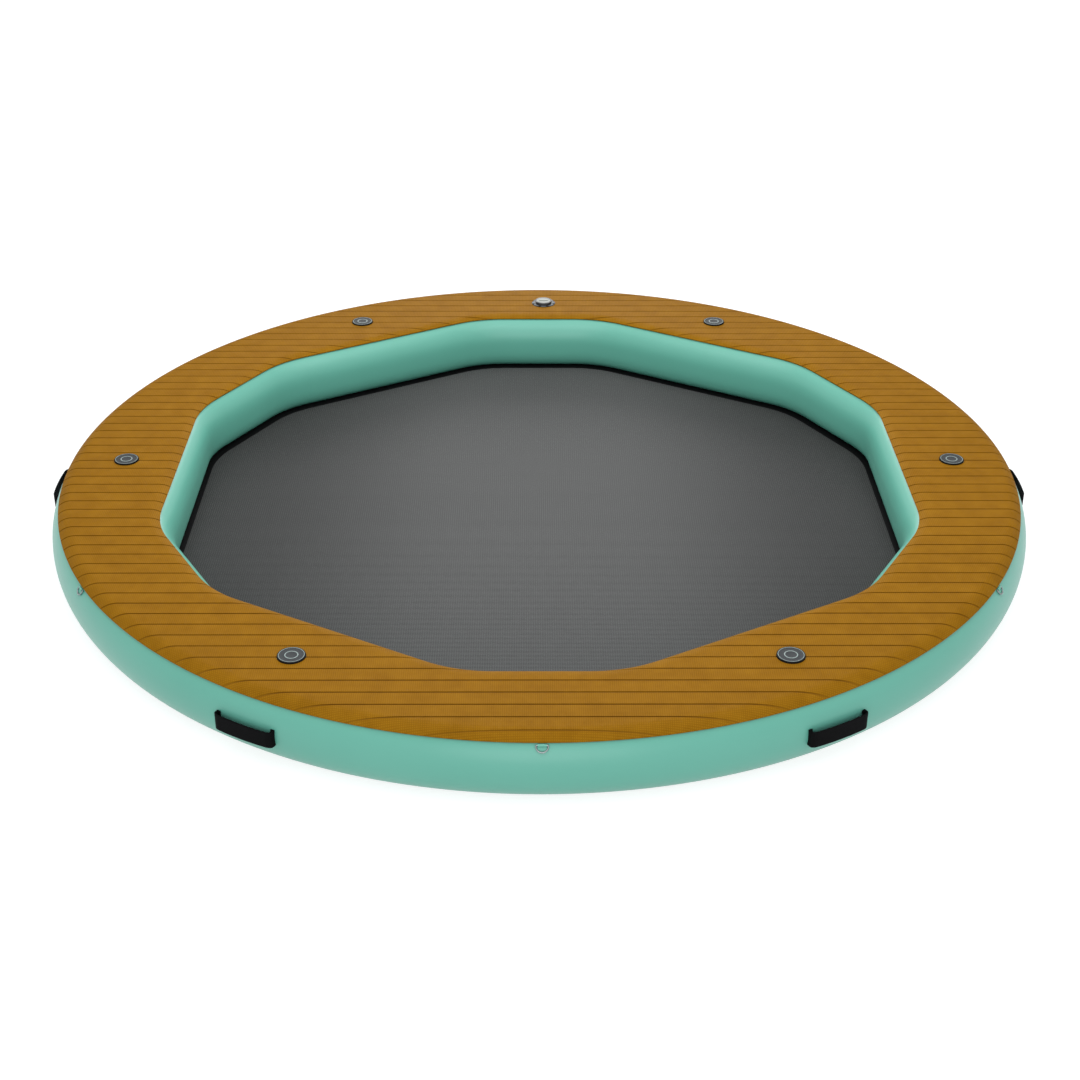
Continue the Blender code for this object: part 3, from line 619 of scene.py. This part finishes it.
# The net floor. A flat mesh of PVC-coated polyester yarn is stretched across the opening. Its squares
# are drawn at twice their real spacing of about 3.4 mm, because finer ones would melt into plain grey.
net_pitch = 0.00683
net_yarn_width = 0.0048
net_edge_inset = 0.056                 # panels' edge to the cut edge of the mesh, inside the binding
net_low, net_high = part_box("net_floor")[0].z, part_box("net_floor")[1].z
yarn_gap = 0.00002
net_grey = "434342"
# the paler grey of the painted sheen down the middle of the net
net_grey_sheen = "585857"
sheen_reach = 0.25                      # middle of the net to where the painted sheen starts to fade
sheen_end_reach = 0.95
sheen_share = 0.9
dust_size = 0.02
dust_shares = (-0.1, 0.2)
yarn_roughness = 0.6
yarn_gloss_share = 0.1


def net_layer(name, turn):
    """One set of parallel yarns, cut to the twelve-sided opening."""
    layer = (net_high - net_low) / 2
    bottom = net_low if turn else net_low + layer
    span = 2 * short_reach
    count = 2 * int(short_reach / net_pitch) + 1
    start = -(count - 1) / 2 * net_pitch
    bpy.ops.mesh.primitive_plane_add(size=1, location=(0, start, bottom))
    yarn = bpy.context.object
    yarn.name = name
    yarn.scale = (span, net_yarn_width, 1)
    bpy.ops.object.transform_apply()
    repeat = yarn.modifiers.new("repeat", "ARRAY")
    repeat.count = count
    repeat.use_relative_offset = False
    repeat.use_constant_offset = True
    repeat.constant_offset_displace = (0, net_pitch, 0)
    bpy.ops.object.modifier_apply(modifier=repeat.name)
    if turn:
        yarn.rotation_euler = (0, 0, math.pi / 2)
        bpy.ops.object.transform_apply()
    bpy.ops.object.mode_set(mode="EDIT")
    for side in range(side_count):
        normal = towards(side * corner_turn)
        bpy.ops.mesh.select_all(action="SELECT")
        bpy.ops.mesh.bisect(plane_co=normal * (side_reach(side) - net_edge_inset), plane_no=normal,
                            clear_outer=True)
    bpy.ops.object.mode_set(mode="OBJECT")
    solid = yarn.modifiers.new("thickness", "SOLIDIFY")
    solid.thickness = layer - yarn_gap
    solid.offset = 1
    bpy.ops.object.modifier_apply(modifier=solid.name)
    return yarn


def coated_yarn():
    """Polyester yarn dipped in dark PVC: matt, and paler down the middle, which is a painted sheen for the
    light reflected there.
    """
    material, tree, shader = start_material("coated_yarn", net_grey, yarn_roughness)
    place = add_node(tree, "ShaderNodeTexCoord").outputs["Object"]
    across = add_node(tree, "ShaderNodeSeparateXYZ", inputs={0: place}).outputs["X"]
    away = add_node(tree, "ShaderNodeMath", {"operation": "ABSOLUTE"}, {0: across}).outputs[0]
    # Painted sheen: the yarn's colour is paler down the middle and fades to its plain grey at the sides.
    fade = {"Value": away, "From Min": sheen_reach, "From Max": sheen_end_reach}
    fade.update({"To Min": sheen_share, "To Max": 0})
    painted_sheen = add_node(tree, "ShaderNodeMapRange", {"interpolation_type": "SMOOTHSTEP"}, fade).outputs["Result"]
    dust = between(tree, noise_at(tree, dust_size, 3.0), *dust_shares)
    tone = add_node(tree, "ShaderNodeMath", inputs={0: painted_sheen, 1: dust}).outputs[0]
    tree.links.new(mix_colours(tree, tone, net_grey, net_grey_sheen), shader.inputs["Base Color"])
    shader.inputs["Specular IOR Level"].default_value = yarn_gloss_share
    return material


net = net_layer("net_mesh", False)
cross = net_layer("net_cross_yarns", True)
pick(net, cross)
bpy.ops.object.join()
finish_piece(net, coated_yarn(), ["net_floor"])


# The net's binding. Black polyester webbing is folded over the edge of the mesh and sewn through, with
# stitches too fine to draw, and its tail is bonded under the inner side wall all round the opening.
binding_low, binding_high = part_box("net_binding")[0].z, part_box("net_binding")[1].z
binding_wedge = 0.018                  # panels' edge to where the tail is gripped under the wall
binding_inset = 0.0740                 # panels' edge to the folded edge of the webbing
fold_steps = 6
tail_steps = 5
wall_touch = 0.0003
webbing_black = "060607"
webbing_painted_sheen = "0C0C0D"
webbing_gloss_share = 0.06
webbing_roughness = 0.75
webbing_thread = 0.0016


def under_wall(out):
    """Height of the inner wall's underside at a distance from the panels' edge."""
    power = inner_fullness[1]
    return wall_middle - wall_half * (1 - min(1, out / inner_bulge) ** power) ** (1 / power)


def binding_section():
    """A flat fold: its tail wedged under the wall, its other edge round."""
    half = (binding_high - binding_low) / 2
    middle = binding_low + half
    power = inner_fullness[1]
    hanging = (wall_middle - binding_high - wall_touch) / wall_half
    clear = inner_bulge * (1 - hanging ** power) ** (1 / power)
    outs = [binding_wedge + (clear - binding_wedge) * step / tail_steps for step in range(tail_steps + 1)]
    points = [(out, min(binding_high, under_wall(out) - wall_touch)) for out in outs]
    turns = [math.pi * step / fold_steps for step in range(fold_steps + 1)]
    fold = binding_inset - half
    points += [(fold + half * math.sin(turn), middle + half * math.cos(turn)) for turn in turns]
    return points + [(binding_wedge, binding_low)]


def black_webbing():
    """Woven black polyester webbing: dull, its ribs given a painted sheen."""
    material, tree, shader = start_material("black_webbing", webbing_black, webbing_roughness)
    ribs = noise_at(tree, webbing_thread, 1.0)
    # Painted sheen: the ribs' noise mixes a slightly paler black into the webbing's colour.
    tree.links.new(mix_colours(tree, ribs, webbing_black, webbing_painted_sheen), shader.inputs["Base Color"])
    add_bump(tree, shader, ribs, webbing_thread / 3)
    shader.inputs["Specular IOR Level"].default_value = webbing_gloss_share
    return material


webbing = black_webbing()
binding = draw_chain("net_edge_binding", at_opening(binding_section()))
run_round_opening(binding)
finish_piece(binding, webbing, ["net_binding"])


# The grab handles. Six straps of thick black webbing are bent off the outer side wall: the feet are
# bonded to the wall and turned in, the legs stand off it and the grip between them is a little bowed.
handle_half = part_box("handle_2")[1].y
handle_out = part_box("handle_2")[1].x
handle_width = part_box("handle_2")[1].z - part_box("handle_2")[0].z
handle_strap = 0.004
handle_corner = (0.020, 0.010)         # along the strap and off the wall
handle_bow = 0.003
handle_foot = 0.010
handle_rest = 0.0003
handle_corner_steps = 8
handle_width_steps = 8
handle_edge = 0.0014
handle_count = 6
foot_shares = (0.0, 0.5, 1.0)          # along the foot
grip_shares = (0.3, 0.6, 1.0)          # from the corner to the middle of the grip
wall_radius = panel_radius + outer_bulge


def strap_path():
    """Half of a strap's middle line as (along, out), from its foot on the wall to its grip."""
    leg = handle_half - handle_strap / 2
    grip = handle_out - handle_strap / 2 - handle_bow
    lift = handle_rest + handle_strap / 2
    path = []
    for share in foot_shares:
        along = leg - handle_foot * (1 - share)
        path.append((along, math.sqrt(wall_radius ** 2 - along ** 2) + lift))
    across, deep = handle_corner
    for step in range(handle_corner_steps + 1):
        turn = math.pi / 2 * step / handle_corner_steps
        path.append((leg - across * (1 - math.cos(turn)), grip - deep * (1 - math.sin(turn))))
    for share in grip_shares:
        rise = handle_bow * (1 - (1 - share) ** 2)
        path.append(((leg - across) * (1 - share), grip + rise))
    return path


def make_handle(number):
    """A strap drawn as a line, swept to its width, fitted to the wall, thickened and turned in place."""
    half = strap_path()
    path = half + [(-along, out) for along, out in half[-2::-1]]
    bottom = wall_middle - handle_width / 2
    strap = draw_chain(f"grab_handle_{number}", [Vector((along, out, bottom)) for along, out in path],
                       closed=False)
    pick(strap)
    bpy.ops.object.mode_set(mode="EDIT")
    bpy.ops.mesh.select_all(action="SELECT")
    for step in range(handle_width_steps):
        lift = {"value": (0, 0, handle_width / handle_width_steps)}
        bpy.ops.mesh.extrude_region_move(TRANSFORM_OT_translate=lift)
    bpy.ops.object.mode_set(mode="OBJECT")
    foot_out = half[0][1]
    leg_end = half[len(foot_shares)][1]
    for vertex in strap.data.vertices:
        share = min(1, max(0, (leg_end - vertex.co.y) / (leg_end - foot_out)))
        height = (vertex.co.z - wall_middle) / wall_half
        vertex.co.y -= share * outer_bulge * (1 - math.sqrt(1 - height ** 2))
    solid = strap.modifiers.new("thickness", "SOLIDIFY")
    solid.thickness = handle_strap
    solid.offset = 0
    solid.use_even_offset = True
    bpy.ops.object.modifier_apply(modifier=solid.name)
    soft_edge(strap, handle_edge)
    strap.rotation_euler = (0, 0, -math.tau * (number - 0.5) / handle_count)
    close_up(strap)
    finish_piece(strap, webbing, [f"handle_{number}"])


for number in range(1, handle_count + 1):
    make_handle(number)


# The D-rings and their loops. Stainless wire is bent to a D and welded; its straight bar lies in a loop
# of the seafoam fabric, whose tail is welded to the ring's shoulder just below the edge of the pad.
ring_half_width = 0.016
ring_depth = 0.018
ring_wire = 0.004
ring_corner = 0.003
ring_arc_steps = 24
ring_corner_steps = 5
wire_detail = 5
loop_half_width = 0.011
loop_fabric = 0.0011
loop_play = 0.0004
loop_tail = 0.014
loop_turn_steps = 20
loop_width_steps = 6
loop_wrap = math.radians(237.6)        # how far the fabric goes round the bar
loop_tail_shares = (1.0, 0.7, 0.4)     # of the tail, on the wall and on top of it
loop_flap_shares = (0.36, 0.62, 0.9)
loop_sheet_share = 0.96                # leaves a hair between the two layers
bow_start = 0.22                       # angle at which the bow leaves its corners
shoulder_lean = math.radians(53.9)
steel_bright = "8A9292"
steel_mark = 0.0012
steel_mark_depth = 0.00003
steel_roughness = (0.16, 0.34)
steel_plain_roughness = 0.22


def brushed_steel():
    """Stainless steel wire, drawn and polished: bright, with faint marks along it."""
    material, tree, shader = start_material("stainless_steel", steel_bright, steel_plain_roughness, 1.0)
    marks = noise_at(tree, steel_mark, 2.0)
    tree.links.new(between(tree, marks, *steel_roughness), shader.inputs["Roughness"])
    add_bump(tree, shader, marks, steel_mark_depth)
    return material


def d_outline():
    """The wire's middle line, bar along X and bow towards Y: a bar, two tight corners, half an ellipse."""
    points = []
    for step in range(ring_arc_steps + 1):
        turn = bow_start + (math.pi - 2 * bow_start) * step / ring_arc_steps
        points.append((ring_half_width * math.cos(turn), ring_depth * math.sin(turn)))
    for side, (start, stop) in ((-1, (points[-1], (ring_corner - ring_half_width, 0))),
                                (1, ((ring_half_width - ring_corner, 0), points[0]))):
        bend = (side * ring_half_width, 0)
        for step in range(ring_corner_steps):
            share = (step + (side < 0)) / ring_corner_steps
            weights = ((1 - share) ** 2, 2 * share * (1 - share), share ** 2)
            points.append(tuple(weights[0] * s + weights[1] * b + weights[2] * e
                                for s, b, e in zip(start, bend, stop)))
    return points


def on_shoulder(number):
    """A ring's own frame on the shoulder: bar along X, bow downhill along Y, Z off the wall."""
    joint = frame["joints"][number - 1]
    assert joint["name"] == f"d_ring_{number}_swing"
    bar = Vector(joint["axis"])
    out = Vector((joint["pos_m"][0], joint["pos_m"][1], 0)).normalized()
    normal = out * math.sin(shoulder_lean) + Vector((0, 0, math.cos(shoulder_lean)))
    down = normal.cross(bar)
    return Matrix.Translation(joint["pos_m"]) @ Matrix((bar, down, normal)).transposed().to_4x4()


def bend_wire(name, points, thickness, closed=True):
    """Wire drawn along its middle line and given its round section."""
    wire = draw_chain(name, points, closed)
    pick(wire)
    bpy.ops.object.convert(target="CURVE")
    wire = bpy.context.object
    wire.data.bevel_depth = thickness / 2
    wire.data.bevel_resolution = wire_detail
    wire.data.use_fill_caps = not closed
    bpy.ops.object.convert(target="MESH")
    wire = bpy.context.object
    close_up(wire)
    return wire


def make_ring(number):
    """One D-ring of wire, turned into its place on the shoulder."""
    outline = [Vector((x, y, 0)) for x, y in d_outline()]
    wire = bend_wire(f"wire_d_ring_{number}", outline, ring_wire)
    wire.matrix_world = on_shoulder(number)
    finish_piece(wire, steel_wire, [f"d_ring_{number}"], rides_on=f"d_ring_{number}")


def loop_line():
    """The loop's fabric as (downhill, off the wall): in under the bar, round it, and back on itself."""
    round_bar = ring_wire / 2 + loop_play + loop_fabric / 2
    line = [(loop_tail * share, -round_bar) for share in loop_tail_shares]
    for step in range(loop_turn_steps + 1):
        turn = -math.pi / 2 - loop_wrap * step / loop_turn_steps
        line.append((round_bar * math.cos(turn), round_bar * math.sin(turn)))
    return line + [(loop_tail * share, loop_fabric - round_bar) for share in loop_flap_shares]


def make_loop(number):
    """One fabric loop, drawn as a line across the bar, swept to its width and thickened."""
    half = Vector((-loop_half_width, 0, 0))
    loop = draw_chain(f"fabric_loop_{number}", [half + Vector((0, y, z)) for y, z in loop_line()],
                      closed=False)
    pick(loop)
    bpy.ops.object.mode_set(mode="EDIT")
    bpy.ops.mesh.select_all(action="SELECT")
    for step in range(loop_width_steps):
        over = {"value": (2 * loop_half_width / loop_width_steps, 0, 0)}
        bpy.ops.mesh.extrude_region_move(TRANSFORM_OT_translate=over)
    bpy.ops.object.mode_set(mode="OBJECT")
    solid = loop.modifiers.new("thickness", "SOLIDIFY")
    solid.thickness = loop_fabric * loop_sheet_share
    solid.offset = 0
    bpy.ops.object.modifier_apply(modifier=solid.name)
    loop.matrix_world = on_shoulder(number)
    close_up(loop)
    finish_piece(loop, ring_fabric, [f"d_ring_loop_{number}"])


steel_wire = brushed_steel()
for number in range(1, handle_count + 1):
    make_ring(number)
    make_loop(number)


# The magnet pods. A black nylon cup is set through the pad with a magnet sealed in it, and a grey
# rubbery cover with a pale bead round its rim is pressed in over it to grip a steel-based tumbler.
pod_steps = 72
pod_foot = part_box("pod_base_1")[0].z
pod_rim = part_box("pod_base_1")[1].z
cover_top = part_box("pod_cover_1")[1].z
cover_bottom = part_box("pod_cover_1")[0].z
cover_radius = (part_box("pod_cover_1")[1].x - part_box("pod_cover_1")[0].x) / 2
cover_fit = 0.0003
cover_bead = 0.0015
cover_sunk = 0.0008
cover_ring_reach = 0.017               # the generic raised ring in the middle of the cover
cover_ring_width = 0.0024
cover_ring_rise = 0.0005
pod_edge_round = 0.0006
pod_black = "060707"
cover_grey = "36393B"
bead_grey = "8E9C98"
mould_gloss_share = 0.5
dull_gloss_share = 0.2
mould_grain = 0.0004
upward_least = 0.2                     # upward part of a face's normal, for a face that takes paint


def moulded_plastic(name, colour, roughness, gloss_share=mould_gloss_share):
    """Injection-moulded plastic: a fine spark-eroded grain and a soft gloss."""
    material, tree, shader = start_material(name, colour, roughness)
    shader.inputs["Specular IOR Level"].default_value = gloss_share
    add_bump(tree, shader, noise_at(tree, mould_grain, 2.0), mould_grain / 12)
    return material


def turn_piece(name, profile, place, closed=False, steps=pod_steps):
    """A round piece: its profile of (radius, height) turned about an upright line through a place."""
    middle = Vector((place.x, place.y, 0))
    points = [middle + Vector((0, radius, height)) for radius, height in profile]
    piece = draw_chain(name, points, closed=closed)
    spin_round(piece, middle, steps)
    return piece


def paint_rings(piece, place, rings, material, lowest=-math.inf, highest=math.inf):
    """Give the upward faces between pairs of radii, and between two heights, a second material."""
    piece.data.materials.append(material)
    for polygon in piece.data.polygons:
        reach = math.hypot(polygon.center.x - place.x, polygon.center.y - place.y)
        level = lowest <= polygon.center.z <= highest and polygon.normal.z > upward_least
        if level and any(inner < reach < outer for inner, outer in rings):
            polygon.material_index = 1


def make_pod(number):
    """A cup and its cover at one of the six places."""
    place = towards(math.tau * (number - 0.5) / pod_count) * pod_reach
    place.z = 0
    seat = cover_radius + cover_fit
    floor_level = cover_bottom - cover_fit
    cup = turn_piece(f"pod_cup_{number}",
                     [(0, floor_level), (seat, floor_level), (seat, pod_rim), (pod_radius, pod_rim),
                      (pod_radius, pod_foot), (0, pod_foot)], place)
    soft_edge(cup, pod_edge_round)
    finish_piece(cup, cup_nylon, [f"pod_base_{number}", f"pod_magnet_{number}"])
    field = cover_top - cover_sunk
    ring_low, ring_high = cover_ring_reach - cover_ring_width / 2, cover_ring_reach + cover_ring_width / 2
    crown = field + cover_ring_rise
    slope = cover_ring_rise
    edge = cover_radius - cover_bead
    cover = turn_piece(f"pod_lid_{number}",
                       [(0, field), (ring_low - slope, field), (ring_low, crown), (ring_high, crown),
                        (ring_high + slope, field), (edge - cover_sunk, field), (edge, cover_top),
                        (cover_radius, cover_top), (cover_radius, cover_bottom), (0, cover_bottom)], place)
    soft_edge(cover, cover_ring_rise / 2, 2, math.radians(30))
    finish_piece(cover, lid_rubber, [f"pod_cover_{number}"])
    bead = (edge - cover_sunk / 2, cover_radius)
    raised = (ring_low - slope / 2, ring_high + slope / 2)
    paint_rings(cover, place, (bead, raised), bead_rubber)


cup_nylon = moulded_plastic("black_nylon", pod_black, 0.7, dull_gloss_share)
lid_rubber = moulded_plastic("grey_rubber_lid", cover_grey, 0.6, dull_gloss_share)
bead_rubber = moulded_plastic("pale_rubber_bead", bead_grey, 0.45)
for number in range(1, pod_count + 1):
    make_pod(number)


# The inflation valve. Its glass-filled nylon housing has a scalloped flange with raised lands between
# the scallops, and a collar; the pale cap is pushed in and turned a quarter by the grip across it.
valve_steps = 96
flange_thickness = 0.0045
flange_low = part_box("valve_gasket")[1].z + cover_fit
flange_high = flange_low + flange_thickness
collar_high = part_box("valve_housing")[1].z
cap_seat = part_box("cap_seal_ring")[0].z - cover_fit
cap_play = 0.0006
barrel_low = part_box("valve_housing")[0].z
bore_radius = 0.0215
barrel_radius = 0.024
collar_radius = 0.031
scallop_count = 8
scallop_radius = 0.006
scallop_bite = 0.004
land_rise = 0.0006
land_width = 0.0075
land_length = 0.017
valve_edge_round = 0.0007
cap_thickness = 0.004
cap_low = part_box("cap_seal_ring")[1].z + cover_fit
cap_high = cap_low + cap_thickness
cap_radius = (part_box("valve_cap")[1].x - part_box("valve_cap")[0].x) / 2
cap_plug_radius = 0.0209
cap_plug_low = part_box("valve_cap")[0].z
cap_wall = 0.0025
cap_dish = 0.0008
cap_band = 0.0035
grip_half = 0.017
grip_width = 0.006
grip_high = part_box("valve_cap")[1].z
valve_dark = "17191C"
# paler grey painted on the lands' tops as a highlight
land_highlight_grey = "5E6469"
cap_pale = "92968F"
cap_inner = "8C908A"


def add_box(name, centre, size, turn=0.0):
    """A plain block, turned about an upright line."""
    bpy.ops.mesh.primitive_cube_add(size=1, location=centre, rotation=(0, 0, turn))
    block = bpy.context.object
    block.name = name
    block.scale = size
    bpy.ops.object.transform_apply()
    return block


def join_solid(piece, other):
    """Fuse another solid into a piece."""
    pick(piece)
    fuse = piece.modifiers.new("fuse", "BOOLEAN")
    fuse.operation = "UNION"
    fuse.object = other
    bpy.ops.object.modifier_apply(modifier=fuse.name)
    bpy.data.objects.remove(other)


def make_housing():
    """The scalloped flange with its lands, the collar and the barrel, open down the middle."""
    recess = cap_radius + cap_play
    profile = [(bore_radius, cap_seat), (recess, cap_seat), (recess, collar_high),
               (collar_radius, collar_high), (collar_radius, flange_high),
               (flange_radius, flange_high), (flange_radius, flange_low), (barrel_radius, flange_low),
               (barrel_radius, barrel_low), (bore_radius, barrel_low)]
    housing = turn_piece("valve_body", profile, valve_place, closed=True, steps=valve_steps)
    scallop_reach = flange_radius + scallop_radius - scallop_bite
    for number in range(scallop_count):
        bite = towards(math.tau * (number + 0.5) / scallop_count) * scallop_reach
        cut_hole(housing, valve_place + bite + Vector((0, 0, flange_low)), scallop_radius, hole_cutter)
    for number in range(scallop_count):
        angle = math.tau * number / scallop_count
        reach = (collar_radius + flange_radius) / 2
        middle = valve_place + towards(angle) * reach + Vector((0, 0, flange_high))
        size = (land_length, land_width, 2 * land_rise)
        join_solid(housing, add_box("land", middle, size, -angle))
    soft_edge(housing, valve_edge_round / 2, 2)
    finish_piece(housing, valve_nylon, ["valve_housing"])
    # Painted highlight: the tops of the lands are coloured paler than the flange around them.
    lands = (collar_radius, flange_radius)
    paint_rings(housing, valve_place, (lands,), land_highlight_nylon, lowest=flange_high + land_rise / 2)


def make_cap():
    """The plug-in cap, dished inside its rim, with the grip standing across the dish."""
    dish = cap_high - cap_dish
    profile = [(0, dish), (cap_radius - cap_band - cap_dish, dish), (cap_radius - cap_band, cap_high),
               (cap_radius, cap_high), (cap_radius, cap_low), (cap_plug_radius, cap_low),
               (cap_plug_radius, cap_plug_low), (cap_plug_radius - cap_wall, cap_plug_low),
               (cap_plug_radius - cap_wall, cap_low), (0, cap_low)]
    cap = turn_piece("valve_plug_cap", profile, valve_place, steps=valve_steps)
    height = grip_high - dish + cap_wall / 2
    middle = valve_place + Vector((0, 0, grip_high - height / 2))
    grip = add_box("grip", middle, (2 * grip_half, grip_width, height))
    soft_edge(grip, grip_width / 5)
    join_solid(cap, grip)
    soft_edge(cap, valve_edge_round / 2, 2, math.radians(60))
    finish_piece(cap, cap_nylon, ["valve_cap"], rides_on="valve_cap")
    dished = (0, cap_radius - cap_band - cap_dish / 2)
    paint_rings(cap, valve_place, (dished,), cap_nylon_inner, highest=dish + merge_gap)


valve_nylon = moulded_plastic("glass_filled_nylon", valve_dark, 0.42)
land_highlight_nylon = moulded_plastic("nylon_lands_painted_highlight", land_highlight_grey, 0.6)
cap_nylon = moulded_plastic("pale_acetal", cap_pale, 0.5)
cap_nylon_inner = moulded_plastic("pale_acetal_dish", cap_inner, 0.45)
make_housing()
make_cap()


# The parts inside the valve. The gasket, back nut, stem, seal and the cap's ring keep the part's own
# meshes. The stainless spring is wound anew from wire.
rubber_black = "141414"
rubber_roughness = 0.7
rubber_mottle = 0.0006
rubber_mottle_depth = 0.00005
spring_wire = 0.0008
spring_turns = 4
spring_turn_steps = 24


def cover_cad(node, material):
    """Give a mesh of the part itself a material."""
    for slot in bpy.data.objects[node].material_slots:
        slot.material = material


def nitrile_rubber():
    """Black nitrile rubber: matt and faintly mottled."""
    material, tree, shader = start_material("nitrile_rubber", rubber_black, rubber_roughness)
    add_bump(tree, shader, noise_at(tree, rubber_mottle), rubber_mottle_depth)
    return material


def wind_spring():
    """The spring under the stem's button, held at its foot."""
    low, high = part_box("valve_spring")
    radius = (high.x - low.x - spring_wire) / 2
    middle = (low + high) / 2
    rise = high.z - low.z - spring_wire
    steps = spring_turns * spring_turn_steps
    coil = []
    for step in range(steps + 1):
        angle = math.tau * step / spring_turn_steps
        height = low.z + spring_wire / 2 + rise * step / steps
        coil.append(Vector((middle.x, middle.y, height)) + radius * towards(math.pi / 2 - angle))
    spring = bend_wire("stem_spring", coil, spring_wire, closed=False)
    finish_piece(spring, steel_wire, ["valve_spring"])
    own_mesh(spring)


wind_spring()
rubber = nitrile_rubber()
for node in ("valve_gasket", "valve_seal", "cap_seal_ring"):
    cover_cad(node, rubber)
for node in ("valve_back_nut", "valve_stem"):
    cover_cad(node, valve_nylon)

low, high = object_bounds()
